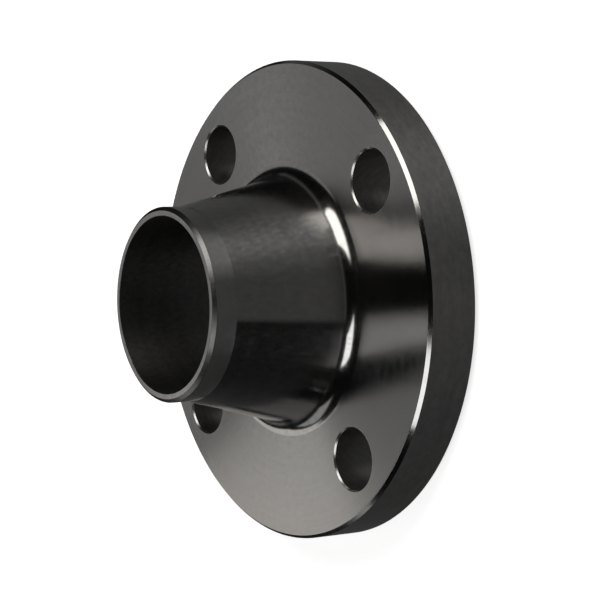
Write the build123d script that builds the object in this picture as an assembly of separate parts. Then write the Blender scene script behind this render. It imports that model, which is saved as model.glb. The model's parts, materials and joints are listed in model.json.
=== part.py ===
from build123d import *
import os
from math import atan2, cos, degrees, radians, sin, tan

# Weld neck pipe flange: nominal size 2 inch, class 150, raised face, bored for
# schedule 10 pipe. Millimetres.
#
# Frame: the origin is the centre of the gasket face. +Z runs along the bore from
# the gasket face to the weld end. The bolt holes straddle the X and Y axes.
#
# The real flange is one forging. It is built here as its four machined zones,
# which meet face to face: the bolting ring, the raised gasket face, the hub with
# its core through the plate, and the weld end.

# Plate: the disc that the bolts clamp
plate_diameter = 152.4
plate_thickness = 19.05
rim_chamfer = 1.0

# Raised face: the gasket seat that stands out of the plate, part of its thickness
raised_face_diameter = 92.1
raised_face_height = 1.6
raised_face_edge = 0.3

# Bolt holes, for M16 or 5/8 inch studs
bolt_circle_diameter = 120.65
bolt_hole_diameter = 19.05
bolt_hole_count = 4
bolt_hole_chamfer = 0.5
first_hole_angle = 45.0

# Pipe that is welded on
pipe_diameter = 60.3
pipe_wall = 2.77

# Hub: a cone from the plate up to the straight weld end
overall_height = 63.5
hub_base_diameter = 79.5
hub_fillet = 5.0
weld_end_length = 8.0

# Weld preparation: a bevel outside a narrow flat land
weld_bevel_angle = 37.5
weld_land = 1.6

# Derived sizes
plate_radius = plate_diameter / 2
raised_face_radius = raised_face_diameter / 2
bolt_circle_radius = bolt_circle_diameter / 2
bolt_hole_radius = bolt_hole_diameter / 2
pipe_radius = pipe_diameter / 2
bore_radius = pipe_radius - pipe_wall
hub_base_radius = hub_base_diameter / 2

plate_back = raised_face_height
plate_front = plate_thickness
taper_top = overall_height - weld_end_length
taper_angle = atan2(hub_base_radius - pipe_radius, taper_top - plate_front)

# The fillet is tangent to the plate's front face and to the cone
fillet_top = plate_front + hub_fillet * (1 - sin(taper_angle))
fillet_top_radius = hub_base_radius - (fillet_top - plate_front) * tan(taper_angle)
fillet_foot_radius = fillet_top_radius + hub_fillet * cos(taper_angle)


def turned(profile):
    """Revolve a closed half-profile, drawn as radius and height, about the bore axis."""
    return revolve(Plane.XZ * make_face(profile), Axis.Z)


def bolt_hole():
    """The space of one bolt hole, centred on the bore axis, with a chamfer at each mouth."""
    mouth_radius = bolt_hole_radius + bolt_hole_chamfer
    outline = Polyline(
        (0, plate_back),
        (mouth_radius, plate_back),
        (bolt_hole_radius, plate_back + bolt_hole_chamfer),
        (bolt_hole_radius, plate_front - bolt_hole_chamfer),
        (mouth_radius, plate_front),
        (0, plate_front),
        close=True,
    )
    return turned(outline)


def flange_ring():
    """The bolting ring: the plate outside the hub's core, drilled on the bolt circle."""
    outline = Polyline(
        (fillet_foot_radius, plate_back),
        (plate_radius - rim_chamfer, plate_back),
        (plate_radius, plate_back + rim_chamfer),
        (plate_radius, plate_front - rim_chamfer),
        (plate_radius - rim_chamfer, plate_front),
        (fillet_foot_radius, plate_front),
        close=True,
    )
    ring = turned(outline)
    for place in PolarLocations(bolt_circle_radius, bolt_hole_count, first_hole_angle):
        ring -= place * bolt_hole()
    return ring


def raised_face():
    """The gasket seat: a low ring around the bore, its outer edge broken."""
    outline = Polyline(
        (bore_radius, 0),
        (raised_face_radius - raised_face_edge, 0),
        (raised_face_radius, raised_face_edge),
        (raised_face_radius, plate_back),
        (bore_radius, plate_back),
        close=True,
    )
    return turned(outline)


def hub():
    """The core through the plate, then the fillet and the cone up to the weld end."""
    fillet = CenterArc(
        center=(fillet_foot_radius, plate_front + hub_fillet),
        radius=hub_fillet,
        start_angle=180 + degrees(taper_angle),
        arc_size=90 - degrees(taper_angle),
    )
    sides = Polyline(
        (fillet_foot_radius, plate_front),
        (fillet_foot_radius, plate_back),
        (bore_radius, plate_back),
        (bore_radius, taper_top),
        (pipe_radius, taper_top),
        (fillet_top_radius, fillet_top),
    )
    return turned(sides + fillet)


def weld_end():
    """The straight end, with the pipe's own diameter and wall, bevelled for a butt weld."""
    land_radius = bore_radius + weld_land
    bevel_height = (pipe_radius - land_radius) * tan(radians(weld_bevel_angle))
    outline = Polyline(
        (bore_radius, taper_top),
        (pipe_radius, taper_top),
        (pipe_radius, overall_height - bevel_height),
        (land_radius, overall_height),
        (bore_radius, overall_height),
        close=True,
    )
    return turned(outline)


os.makedirs("parts", exist_ok=True)
for zone in (flange_ring, raised_face, hub, weld_end):
    export_step(zone(), f"parts/{zone.__name__}.step")
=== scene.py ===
import json
from math import asin, atan2, ceil, cos, hypot, pi, radians, sin, tan

import bpy
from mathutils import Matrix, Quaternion, Vector
from mathutils.geometry import delaunay_2d_cdt


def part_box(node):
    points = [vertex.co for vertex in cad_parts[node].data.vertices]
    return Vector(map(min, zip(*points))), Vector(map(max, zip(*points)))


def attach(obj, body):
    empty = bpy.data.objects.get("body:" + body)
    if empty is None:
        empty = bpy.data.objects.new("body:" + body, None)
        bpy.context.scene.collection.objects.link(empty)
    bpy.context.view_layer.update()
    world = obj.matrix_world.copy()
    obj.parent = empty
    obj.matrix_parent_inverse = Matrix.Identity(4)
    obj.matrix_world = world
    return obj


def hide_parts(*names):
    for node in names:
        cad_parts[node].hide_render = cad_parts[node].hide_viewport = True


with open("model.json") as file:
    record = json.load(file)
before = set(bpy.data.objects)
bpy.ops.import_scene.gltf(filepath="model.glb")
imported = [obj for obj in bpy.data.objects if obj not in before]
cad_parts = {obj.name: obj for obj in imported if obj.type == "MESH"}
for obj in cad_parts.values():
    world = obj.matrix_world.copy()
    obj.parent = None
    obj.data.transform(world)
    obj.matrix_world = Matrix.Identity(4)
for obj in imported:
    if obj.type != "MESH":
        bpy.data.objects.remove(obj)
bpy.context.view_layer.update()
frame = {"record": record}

# The visual model of the weld neck flange, its materials and the studio that it is seen in.
# Everything is in metres. +Z is the bore axis, from the gasket face to the weld end.
MM = 0.001


def mount(name):
    """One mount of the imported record, by name."""
    return next(m for m in frame["record"]["mounts"] if m["name"] == name)


# ---- Sizes that the frame gives ----

plate_low, plate_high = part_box("flange_ring")
raised_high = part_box("raised_face")[1]
hub_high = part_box("hub")[1]
weld_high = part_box("weld_end")[1]

plate_radius = plate_high.x
plate_back = plate_low.z
plate_front = plate_high.z
core_radius = hub_high.x
raised_radius = raised_high.x
taper_top = hub_high.z
pipe_radius = weld_high.x
tip = weld_high.z
bore_radius = mount("bore")["dims"]["r_mm"] * MM
bolt_pattern = mount("bolt_holes")["dims"]
bolt_circle_radius = bolt_pattern["pcd_mm"] / 2 * MM
bolt_hole_radius = bolt_pattern["hole_r_mm"] * MM

# ---- Details finer than the frame's boxes ----

FIRST_HOLE_ANGLE = radians(45)
HUB_FILLET = 5.0 * MM
WELD_LAND = 1.6 * MM
WELD_BEVEL = radians(37.5)
RIM_CHAMFER = 1.0 * MM
HOLE_CHAMFER = 0.5 * MM
CORNER = 0.15 * MM          # the rounding that deburring leaves on every corner
SEAT_FILLET = 0.5 * MM      # where the raised face meets the plate
SEAT_EDGE = 0.3 * MM        # the rounding of the raised face's rim
SERRATION_PITCH = 0.8 * MM
SERRATION_DEPTH = 0.05 * MM
SERRATION_MARGIN = 0.6 * MM

TURN_STEPS = 384            # facets around the bore axis
HOLE_STEPS = 96             # facets around a bolt hole
GROOVE_STEPS = 6            # facets across one serration
CORNER_STEP = radians(15)   # facets of a rounded corner
FILLET_STEP = radians(4)    # facets of the hub's fillet
FLAT_SPACING = 3 * MM       # distance between the corners inside a flat face
WELD_DISTANCE = 0.001 * MM  # corners nearer than this are one
SQUARE = 0.0001             # the most that a normal may lean and still count as square


# ---- Outlines: closed half-profiles with exact normals ----

def arc(corner, before, after, radius, step):
    """Round one corner of an outline in facets of at most step, an angle.

    Returns its points, each as (r, z, normal r, normal z).
    """
    d1 = Vector((corner[0] - before[0], corner[1] - before[1])).normalized()
    d2 = Vector((after[0] - corner[0], after[1] - corner[1])).normalized()
    turn = atan2(d1.x * d2.y - d1.y * d2.x, d1.dot(d2))
    side = 1 if turn > 0 else -1
    first = Vector((d1.y, -d1.x))
    start = Vector(corner[:2]) - d1 * radius * tan(abs(turn) / 2)
    centre = start - first * radius * side
    count = max(2, ceil(abs(turn) / step))
    points = []
    for i in range(count + 1):
        a = turn * i / count
        n = Vector((first.x * cos(a) - first.y * sin(a), first.x * sin(a) + first.y * cos(a)))
        p = centre + n * radius * side
        points.append((p.x, p.y, n.x, n.y))
    return points


def outline(corners):
    """Facets of a closed outline, anticlockwise with r to the right and z up.

    Each corner is (r, z), sharp, or (r, z, radius[, step]), rounded. A facet is a pair of
    (r, z, normal r, normal z).
    """
    rounded = []
    for i, c in enumerate(corners):
        before, after = corners[i - 1], corners[(i + 1) % len(corners)]
        if len(c) > 2:
            rounded.append(arc(c, before, after, c[2], c[3] if len(c) > 3 else CORNER_STEP))
        else:
            rounded.append([(c[0], c[1])])
    facets = []
    for i, points in enumerate(rounded):
        facets += [(a, b) for a, b in zip(points, points[1:])]
        a, b = points[-1][:2], rounded[(i + 1) % len(rounded)][0][:2]
        length = hypot(b[0] - a[0], b[1] - a[1])
        if length > WELD_DISTANCE:
            n = ((b[1] - a[1]) / length, (a[0] - b[0]) / length)
            facets.append(((*a, *n), (*b, *n)))
    return facets


# ---- Meshes ----

class Skin:
    """Collects faces with a normal at every corner, welding corners that coincide.

    A finish is the number of a face's material.
    """

    def __init__(self):
        self.index = {}
        self.faces = []
        self.normals = []
        self.finishes = []

    def corner(self, p):
        key = tuple(round(x / WELD_DISTANCE) for x in p)
        return self.index.setdefault(key, (len(self.index), tuple(p)))[0]

    def face(self, points, normals, finish=0):
        self.faces.append([self.corner(p) for p in points])
        self.normals += normals
        self.finishes.append(finish)

    def turn(self, facets, steps, centre=(0.0, 0.0), finish=0):
        """Revolve facets about a line along Z through centre."""
        ring = [(cos(2 * pi * i / steps), sin(2 * pi * i / steps)) for i in range(steps)]
        for a, b in facets:
            for i in range(steps):
                (c0, s0), (c1, s1) = ring[i], ring[(i + 1) % steps]
                points, normals = [], []
                for (r, z, nr, nz), c, s in ((a, c0, s0), (a, c1, s1), (b, c1, s1), (b, c0, s0)):
                    points.append((centre[0] + r * c, centre[1] + r * s, z))
                    normals.append((nr * c, nr * s, nz))
                self.face(points, normals, finish)

    def piece(self, name, materials):
        """Make the object. Its materials are in the order of the finishes."""
        mesh = bpy.data.meshes.new(name)
        mesh.from_pydata([p for _, p in self.index.values()], [], self.faces)
        for material in materials:
            mesh.materials.append(material)
        mesh.polygons.foreach_set("material_index", self.finishes)
        mesh.polygons.foreach_set("use_smooth", [True] * len(self.faces))
        mesh.normals_split_custom_set(self.normals)
        made = bpy.data.objects.new(name, mesh)
        bpy.context.scene.collection.objects.link(made)
        return made


def is_flat(facet):
    """True for a facet square to the bore axis."""
    (_, _, _, n0), (_, _, _, n1) = facet
    return min(abs(n0), abs(n1)) > 1 - SQUARE


def is_upright(facet):
    """True for a facet parallel to the bore axis."""
    (_, _, _, n0), (_, _, _, n1) = facet
    return max(abs(n0), abs(n1)) < SQUARE


bolt_hole_count = bolt_pattern["count"]
bolt_hole_angles = [FIRST_HOLE_ANGLE + 2 * pi * k / bolt_hole_count for k in range(bolt_hole_count)]
bolt_hole_centres = [Vector((cos(a), sin(a))) * bolt_circle_radius for a in bolt_hole_angles]


def add_flat(skin, z, up, inner, outer, hole_mouth, finish):
    """A flat ring square to the axis, from radius inner to outer, with the bolt holes left out.

    The points between its edges lie on circles, so that no triangle is long and thin.
    """
    points, loops, edges = [], [], []

    def loop(centre, radius, steps):
        first = len(points)
        ring = range(first, first + steps)
        for i in range(steps):
            a = 2 * pi * i / steps
            points.append(Vector((centre[0] + radius * cos(a), centre[1] + radius * sin(a))))
        edges.extend((i, first + (i + 1 - first) % steps) for i in ring)
        return ring

    loop((0, 0), outer, TURN_STEPS)
    loops.append(loop((0, 0), inner, TURN_STEPS))
    for centre in bolt_hole_centres:
        loops.append(loop(centre, hole_mouth, HOLE_STEPS))
    circles = int((outer - inner) / FLAT_SPACING)
    for k in range(1, circles):
        r = inner + (outer - inner) * k / circles
        count = int(2 * pi * r / FLAT_SPACING)
        stagger = 0.5 * (k % 2)
        for i in range(count):
            a = 2 * pi * (i + stagger) / count
            p = Vector((r * cos(a), r * sin(a)))
            if all((p - c).length > hole_mouth + FLAT_SPACING / 2 for c in bolt_hole_centres):
                points.append(p)
    _, _, triangles, origins, _, _ = delaunay_2d_cdt(points, edges, [], 0, 1e-8)
    # Triangles with all their corners on one inner loop fill a hole, so they are left out.
    gaps = [set(ring) for ring in loops]
    normal = (0, 0, 1 if up else -1)
    for triangle in triangles:
        ids = [origins[v][0] for v in triangle]
        if any(gap.issuperset(ids) for gap in gaps):
            continue
        if not up:
            ids.reverse()
        skin.face([(points[i].x, points[i].y, z) for i in ids], [normal] * 3, finish)


def make_flange_ring(materials):
    """The bolting ring: rim, both faces and the four drilled holes."""
    rim_shoulder = plate_radius - RIM_CHAMFER
    ring = outline([
        (core_radius, plate_back),
        (rim_shoulder, plate_back, CORNER),
        (plate_radius, plate_back + RIM_CHAMFER, CORNER),
        (plate_radius, plate_front - RIM_CHAMFER, CORNER),
        (rim_shoulder, plate_front, CORNER),
        (core_radius, plate_front),
    ])
    mouth = bolt_hole_radius + HOLE_CHAMFER
    beyond = mouth + bolt_hole_radius  # only closes the outline, nothing is made there
    hole = outline([
        (beyond, plate_back),
        (beyond, plate_front),
        (mouth, plate_front, CORNER),
        (bolt_hole_radius, plate_front - HOLE_CHAMFER, CORNER),
        (bolt_hole_radius, plate_back + HOLE_CHAMFER, CORNER),
        (mouth, plate_back, CORNER),
    ])
    skin = Skin()
    face, rim, edge, drilled, mouth_chamfer = range(5)
    for facet in ring:
        if not is_flat(facet):
            skin.turn([facet], TURN_STEPS, finish=rim if is_upright(facet) else edge)
    wall = [f for f in hole if not is_flat(f) and f[0][0] < mouth + CORNER]
    for centre in bolt_hole_centres:
        for facet in wall:
            skin.turn([facet], HOLE_STEPS, centre, drilled if is_upright(facet) else mouth_chamfer)
    mouth_edge = max(point[0] for facet in wall for point in facet)
    for facet in filter(is_flat, ring):
        radii = sorted(point[0] for point in facet)
        z = facet[0][1]
        add_flat(skin, z, z == plate_front, *radii, mouth_edge, face)
    return skin.piece("plate", materials)


def serrations(inner, outer, z):
    """Facets of the gasket face: round-bottomed concentric grooves between two plain margins."""
    count = int((outer - inner - 2 * SERRATION_MARGIN) / SERRATION_PITCH)
    start = (inner + outer - count * SERRATION_PITCH) / 2
    points = [(inner, z, 0, -1)]
    for i in range(count * GROOVE_STEPS + 1):
        a = 2 * pi * i / GROOVE_STEPS
        r = start + i * SERRATION_PITCH / GROOVE_STEPS
        depth = SERRATION_DEPTH / 2 * (1 - cos(a))
        slope = SERRATION_DEPTH / 2 * sin(a) * 2 * pi / SERRATION_PITCH
        length = hypot(slope, 1)
        points.append((r, z + depth, slope / length, -1 / length))
    points.append((outer, z, 0, -1))
    return list(zip(points, points[1:]))


def make_raised_face(materials):
    """The gasket seat on the plate's back, with a small fillet at its root."""
    profile = outline([
        (bore_radius, 0, CORNER),
        (raised_radius, 0, SEAT_EDGE),
        (raised_radius, plate_back, SEAT_FILLET),
        (raised_radius + SEAT_FILLET, plate_back),
        (bore_radius, plate_back),
    ])
    skin = Skin()
    for facet in profile:
        if is_flat(facet) and facet[0][1] == 0:
            skin.turn(serrations(facet[0][0], facet[1][0], 0), TURN_STEPS)
        else:
            skin.turn([facet], TURN_STEPS)
    return skin.piece("gasket_seat", materials)


def make_hub(materials):
    """The cone and its fillet on the plate, with the core that carries them through the plate.

    The cone's angle is the one that brings the fillet's foot to the core's radius.
    """
    rise = taper_top - plate_front - HUB_FILLET
    run = core_radius - pipe_radius
    taper = atan2(run, rise) - asin(HUB_FILLET / hypot(run, rise))
    base_radius = pipe_radius + (taper_top - plate_front) * tan(taper)
    profile = outline([
        (bore_radius, plate_back),
        (core_radius, plate_back),
        (core_radius, plate_front),
        (base_radius, plate_front, HUB_FILLET, FILLET_STEP),
        (pipe_radius, taper_top),
        (bore_radius, taper_top),
    ])
    skin = Skin()
    outside, bore = range(2)
    for facet in profile:
        in_bore = max(facet[0][0], facet[1][0]) < bore_radius + CORNER
        skin.turn([facet], TURN_STEPS, finish=bore if in_bore else outside)
    return skin.piece("tapered_hub", materials)


def make_weld_end(materials):
    """The straight end, with its bevel, its land and the bore's mouth."""
    land_radius = bore_radius + WELD_LAND
    bevel_foot = tip - (pipe_radius - land_radius) * tan(WELD_BEVEL)
    profile = outline([
        (bore_radius, taper_top),
        (pipe_radius, taper_top),
        (pipe_radius, bevel_foot, CORNER),
        (land_radius, tip, CORNER),
        (bore_radius, tip, CORNER),
    ])
    skin = Skin()
    outside, land, bevel, bore = range(4)
    for facet in profile:
        if max(facet[0][0], facet[1][0]) < bore_radius + CORNER / 2:
            finish = bore
        elif min(facet[0][1], facet[1][1]) < bevel_foot - CORNER:
            finish = outside
        else:
            finish = land if is_flat(facet) else bevel
        skin.turn([facet], TURN_STEPS, finish=finish)
    return skin.piece("pipe_end", materials)


# ---- Materials ----

class Nodes:
    """Short calls for building a node tree."""

    def __init__(self, tree):
        self.tree = tree
        tree.nodes.clear()

    def add(self, kind, **values):
        """One node. Keys are input names, with _ for a space, or settings of the node."""
        node = self.tree.nodes.new(kind)
        for key, value in values.items():
            if hasattr(node, key):
                setattr(node, key, value)
            else:
                self.plug(value, node.inputs[key.replace("_", " ")])
        return node

    def plug(self, value, socket):
        """Link another node's output to a socket, or set a constant on it."""
        if isinstance(value, bpy.types.NodeSocket):
            self.tree.links.new(value, socket)
        else:
            socket.default_value = value

    def math(self, operation, *values):
        node = self.tree.nodes.new("ShaderNodeMath")
        node.operation = operation
        for value, socket in zip(values, node.inputs):
            self.plug(value, socket)
        return node.outputs[0]

    def noise(self, vector, scale, detail=2.0, w=None):
        node = self.tree.nodes.new("ShaderNodeTexNoise")
        node.noise_dimensions = "3D" if w is None else "4D"
        self.plug(vector, node.inputs["Vector"])
        if w is not None:
            self.plug(w, node.inputs["W"])
        node.inputs["Scale"].default_value = scale
        node.inputs["Detail"].default_value = detail
        return node.outputs[0]

    def spread(self, value, low, high):
        """Map a noise value, which keeps near the middle, onto low to high."""
        return self.add(
            "ShaderNodeMapRange", Value=value, From_Min=0.3, From_Max=0.7, To_Min=low, To_Max=high
        ).outputs[0]

    def grey_ramp(self, value, stops):
        """Map a value from 0 to 1 onto greys, given as (position, grey) stops."""
        ramp = self.add("ShaderNodeValToRGB", Fac=value)
        elements = ramp.color_ramp.elements
        elements.remove(elements[1])
        elements[0].position = stops[0][0]
        elements[0].color = (*[stops[0][1]] * 3, 1)
        for position, grey in stops[1:]:
            elements.new(position).color = (grey, grey, grey, 1)
        return ramp.outputs[0]

    def mix(self, factor, a, b, blend="MIX"):
        node = self.tree.nodes.new("ShaderNodeMix")
        node.data_type = "RGBA"
        node.blend_type = blend
        self.plug(factor, node.inputs[0])
        self.plug(a, node.inputs[6])
        self.plug(b, node.inputs[7])
        return node.outputs[2]


def steel(name, colour, tint, roughness, anisotropy, feed_pitch, groove, grain, patch):
    """Turned steel under a thin dark film: rings round the bore axis, mottling and a fine grain.

    colour and tint are the two shades that the mottling mixes: the thin dark film's own on most
    faces, and darker painted shade for the bevel, the bore and the bolt holes. patch is how far
    they rise and fall, as a part of 1. feed_pitch is the tool's feed, groove the depth of its
    marks and grain that of the surface's roughness, all in metres.
    """
    material = bpy.data.materials.new(name)
    material.use_nodes = True
    n = Nodes(material.node_tree)
    place = n.add("ShaderNodeTexCoord").outputs["Object"]
    x, y, z = n.add("ShaderNodeSeparateXYZ", Vector=place).outputs
    radius = n.math("SQRT", n.math("ADD", n.math("MULTIPLY", x, x), n.math("MULTIPLY", y, y)))

    def tool_marks(pitch, arc_length, detail):
        """Noise that changes quickly across the feed and slowly along each turn."""
        across = n.math("MULTIPLY", radius, 1 / pitch)
        along = n.math("MULTIPLY", z, 1 / pitch)
        drift_x = n.math("MULTIPLY", x, 1 / arc_length)
        drift_y = n.math("MULTIPLY", y, 1 / arc_length)
        vector = n.add("ShaderNodeCombineXYZ", X=across, Y=along, Z=drift_x).outputs[0]
        return n.noise(vector, 1.0, detail, drift_y)

    feed = tool_marks(feed_pitch, 40 * MM, 2.0)
    bands = tool_marks(feed_pitch * 9, 90 * MM, 3.0)
    outward = [n.math("DIVIDE", side, radius) for side in (x, y)]
    drift = n.math("MULTIPLY", n.math("ADD", radius, z), 1 / (50 * MM))
    around = n.add("ShaderNodeCombineXYZ", X=outward[0], Y=outward[1], Z=drift).outputs[0]
    chatter = n.noise(around, 26.0, 3.0)  # streaks across the tool marks
    mottle = n.noise(place, 25.0, 3.0)
    fine = n.noise(place, 900.0, 3.0)

    level = n.math("ADD", n.spread(bands, 1 - patch / 2, 1 + patch / 2), n.spread(fine, -0.03, 0.03))
    level = n.math("ADD", level, n.spread(chatter, -patch, patch))
    level = n.math("MULTIPLY", level, n.spread(feed, 0.96, 1.04))
    grey = n.add("ShaderNodeCombineColor", Red=level, Green=level, Blue=level).outputs[0]
    shade = n.mix(n.spread(mottle, 0.0, 1.0), (*colour, 1), (*tint, 1))
    shade = n.mix(1.0, shade, grey, "MULTIPLY")

    rough = n.math("ADD", n.spread(mottle, roughness - 0.01, roughness + 0.02), n.spread(bands, -0.01, 0.01))
    rough = n.math("ADD", rough, n.spread(chatter, -0.015, 0.015))
    rough = n.math("ADD", rough, n.spread(fine, -0.01, 0.01))

    height = n.math("ADD", n.math("MULTIPLY", feed, groove), n.math("MULTIPLY", fine, grain))
    bump = n.add("ShaderNodeBump", Height=height, Distance=1.0, Strength=1.0).outputs[0]
    shader = n.add("ShaderNodeBsdfPrincipled", Base_Color=shade, Metallic=1.0, Roughness=rough, Normal=bump)
    if anisotropy:
        # The highlight is long across the tool marks: a quarter turn from the way round the axis.
        tangent = n.add("ShaderNodeTangent", direction_type="RADIAL", axis="Z").outputs[0]
        n.plug(tangent, shader.inputs["Tangent"])
        shader.inputs["Anisotropic"].default_value = anisotropy
        shader.inputs["Anisotropic Rotation"].default_value = 0.25
    n.add("ShaderNodeOutputMaterial", Surface=shader.outputs[0])
    return material


DARK = (0.300, 0.299, 0.297)
WARM = (0.325, 0.316, 0.305)
CUT = (0.360, 0.355, 0.350), (0.330, 0.320, 0.310)
# painted shade: the bevel is coloured darker than the land and the outer faces, which dims the highlight it
# would catch
SHADED = (0.180, 0.178, 0.175), (0.200, 0.197, 0.192)
# painted shade: the bore's walls are coloured darker than the outer faces, standing in for the shade inside
# it
BORE_PAINTED_SHADE = (0.140, 0.138, 0.135), (0.170, 0.165, 0.160)
# painted shade: the bolt holes' walls are coloured darker than the faces, standing in for the shade inside
# them
HOLE_PAINTED_SHADE = (0.190, 0.187, 0.183), (0.230, 0.220, 0.210)

face_steel = steel("face_steel", DARK, WARM, 0.22, 0.95, 0.25 * MM, 1.5e-6, 0.2e-6, 0.06)
rim_steel = steel("rim_steel", DARK, WARM, 0.3, 0.5, 0.3 * MM, 3e-6, 3e-6, 0.1)
mouth_steel = steel("mouth_steel", DARK, WARM, 0.24, 0, 0.2 * MM, 1.5e-6, 0.5e-6, 0.1)
edge_steel = steel("edge_steel", DARK, WARM, 0.15, 0.8, 0.2 * MM, 1.5e-6, 0.2e-6, 0.06)
hub_steel = steel("hub_steel", DARK, WARM, 0.15, 0.8, 0.25 * MM, 1.5e-6, 0.2e-6, 0.1)
end_steel = steel("end_steel", DARK, WARM, 0.15, 0.8, 0.2 * MM, 1.5e-6, 0.2e-6, 0.06)
land_steel = steel("land_steel", *CUT, 0.17, 0.8, 0.15 * MM, 1.5e-6, 0.5e-6, 0.1)
bevel_steel = steel("bevel_steel", *SHADED, 0.3, 0.3, 0.2 * MM, 2e-6, 1e-6, 0.1)
bore_steel = steel("bore_steel", *BORE_PAINTED_SHADE, 0.36, 0.5, 0.4 * MM, 3e-6, 2e-6, 0.12)
drill_steel = steel("drill_steel", *HOLE_PAINTED_SHADE, 0.4, 0, 0.3 * MM, 4e-6, 3e-6, 0.15)
gasket_steel = steel("gasket_steel", DARK, WARM, 0.25, 0.6, 0.2 * MM, 1.5e-6, 0.5e-6, 0.08)

# ---- Pieces ----

plate_finishes = [face_steel, rim_steel, edge_steel, drill_steel, mouth_steel]

for made, node, slot in (
    (make_flange_ring(plate_finishes), "flange_ring", "plate_steel"),
    (make_raised_face([gasket_steel]), "raised_face", "gasket_face_steel"),
    (make_hub([hub_steel, bore_steel]), "hub", "hub_steel"),
    (make_weld_end([end_steel, land_steel, bevel_steel, bore_steel]), "weld_end", "weld_end_steel"),
):
    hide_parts(node)
    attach(made, "root")

# ---- Studio ----

scene = bpy.context.scene
scene.view_settings.view_transform = "Standard"

# The camera, fitted to the outlines in the photo, where the flange lies on its side.
CAMERA_AZIMUTH = 10.1
CAMERA_ELEVATION = 34.15
CAMERA_ROLL = -92.4
CAMERA_DISTANCE = 0.618
CAMERA_OFFSET = (0.0054, -0.00002)  # of its aim, to its right and up
CAMERA_LENS = 115.9                 # millimetres
SENSOR = 36.0                       # millimetres

# The surroundings, as greys across a horizontal direction: 0 is away from the bright side, 1 is
# towards it. The two changeovers are over how far a direction points down or up.
BRIGHT_AZIMUTH = 71
EYE_LEVEL = ((0.0, 0.02), (0.555, 0.012), (0.595, 0.107), (0.9, 0.107), (0.978, 0.18), (1.0, 0.27))
BELOW = ((0.05, 0.06), (0.25, 0.075), (0.66, 0.115), (0.85, 0.11), (0.93, 0.36))
ABOVE = 0.006
LEVEL_TO_BELOW = ((0.2, 0.0), (0.4, 1.0))
LEVEL_TO_ABOVE = ((0.05, 0.0), (0.25, 1.0))
BACKDROP = 0.85             # what the camera sees beyond the floor

SOFTBOX_DISTANCE = 1.5
FLOOR_SIZE = 12.0
FLOOR_GREY = 0.92
FLOOR_GLOW = 0.7            # keeps the floor pale where the lights don't reach it


def direction(azimuth, elevation):
    """The unit vector towards an azimuth and elevation in degrees. Azimuth 0 is -Y and 90 is +X."""
    a, e = radians(azimuth), radians(elevation)
    return Vector((sin(a) * cos(e), -cos(a) * cos(e), sin(e)))


def make_camera():
    """The photo's camera, aimed near the middle of the plate's front."""
    back = direction(CAMERA_AZIMUTH, CAMERA_ELEVATION)
    turn = back.to_track_quat("Z", "Y") @ Quaternion((0, 0, 1), radians(CAMERA_ROLL))
    right, up = turn @ Vector((1, 0, 0)), turn @ Vector((0, 1, 0))
    data = bpy.data.cameras.new("camera")
    data.lens = CAMERA_LENS
    data.sensor_width = SENSOR
    data.clip_start, data.clip_end = 0.01, 50
    camera = bpy.data.objects.new("camera", data)
    camera.rotation_mode = "QUATERNION"
    camera.rotation_quaternion = turn
    aim = Vector((0, 0, plate_front)) + right * CAMERA_OFFSET[0] + up * CAMERA_OFFSET[1]
    camera.location = aim + back * CAMERA_DISTANCE
    scene.collection.objects.link(camera)
    scene.camera = camera


def softbox(name, azimuth, elevation, width, height, roll, radiance, colour=(1, 1, 1)):
    """A rectangular light aimed at the flange. Its width, height and roll are in degrees."""
    size = [2 * SOFTBOX_DISTANCE * tan(radians(spread) / 2) for spread in (width, height)]
    data = bpy.data.lights.new(name, "AREA")
    data.shape = "RECTANGLE"
    data.size, data.size_y = size
    data.energy = radiance * pi * size[0] * size[1]
    data.color = colour
    light = bpy.data.objects.new(name, data)
    back = direction(azimuth, elevation)
    light.location = Vector((0, 0, plate_front)) + back * SOFTBOX_DISTANCE
    light.rotation_mode = "QUATERNION"
    light.rotation_quaternion = back.to_track_quat("Z", "Y") @ Quaternion((0, 0, 1), radians(roll))
    light.visible_camera = False
    scene.collection.objects.link(light)


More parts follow.
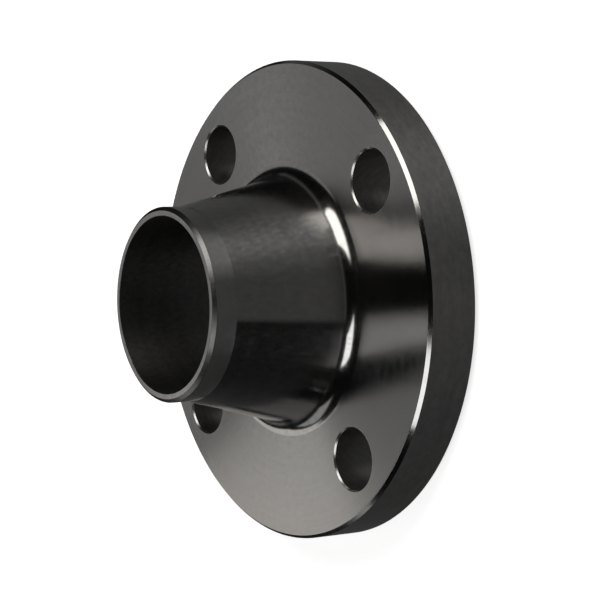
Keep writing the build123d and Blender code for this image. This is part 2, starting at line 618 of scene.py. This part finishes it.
def make_floor():
    """A plain pale floor that the steel doesn't mirror."""
    corners = [(x * FLOOR_SIZE, y * FLOOR_SIZE, 0) for x, y in ((-1, -1), (1, -1), (1, 1), (-1, 1))]
    mesh = bpy.data.meshes.new("floor")
    mesh.from_pydata(corners, [], [(0, 1, 2, 3)])
    floor = bpy.data.objects.new("floor", mesh)
    scene.collection.objects.link(floor)
    floor.visible_glossy = False
    material = bpy.data.materials.new("floor")
    material.use_nodes = True
    n = Nodes(material.node_tree)
    shader = n.add(
        "ShaderNodeBsdfPrincipled", Base_Color=(*[FLOOR_GREY] * 3, 1), Roughness=1.0,
        Emission_Color=(1, 1, 1, 1), Emission_Strength=FLOOR_GLOW,
    )
    n.add("ShaderNodeOutputMaterial", Surface=shader.outputs[0])
    mesh.materials.append(material)


def make_world():
    """Dim surroundings, brighter on one side and below, and dark above."""
    world = bpy.data.worlds.new("studio")
    scene.world = world
    world.use_nodes = True
    n = Nodes(world.node_tree)
    towards = n.add("ShaderNodeTexCoord").outputs["Generated"]
    x, y, z = n.add("ShaderNodeSeparateXYZ", Vector=towards).outputs
    bright_side = direction(BRIGHT_AZIMUTH, 0)
    across = n.math("ADD", n.math("MULTIPLY", x, bright_side.x), n.math("MULTIPLY", y, bright_side.y))
    across = n.math("MULTIPLY_ADD", across, 0.5, 0.5)
    lower = n.mix(
        n.grey_ramp(n.math("MULTIPLY", z, -1.0), LEVEL_TO_BELOW),
        n.grey_ramp(across, EYE_LEVEL),
        n.grey_ramp(across, BELOW),
    )
    grey = n.mix(n.grey_ramp(z, LEVEL_TO_ABOVE), lower, (*[ABOVE] * 3, 1))
    seen = n.add("ShaderNodeLightPath").outputs["Is Camera Ray"]
    colour = n.mix(seen, grey, (*[BACKDROP] * 3, 1))
    n.add("ShaderNodeOutputWorld", Surface=n.add("ShaderNodeBackground", Color=colour).outputs[0])


make_camera()
make_floor()
make_world()
softbox("key_left", -38, 45, 28, 37, 0, 2.8)
softbox("key_right", 77, 36, 34, 54, -14, 3.5, (1.0, 0.98, 0.95))
softbox("back_panel", 210.5, 27, 20, 24, 8, 1.15, (1.0, 0.96, 0.91))
softbox("back_strip", 184, 31, 27, 28, 0, 0.4)
softbox("side_fill", 248, 27, 32, 24, 0, 0.6)
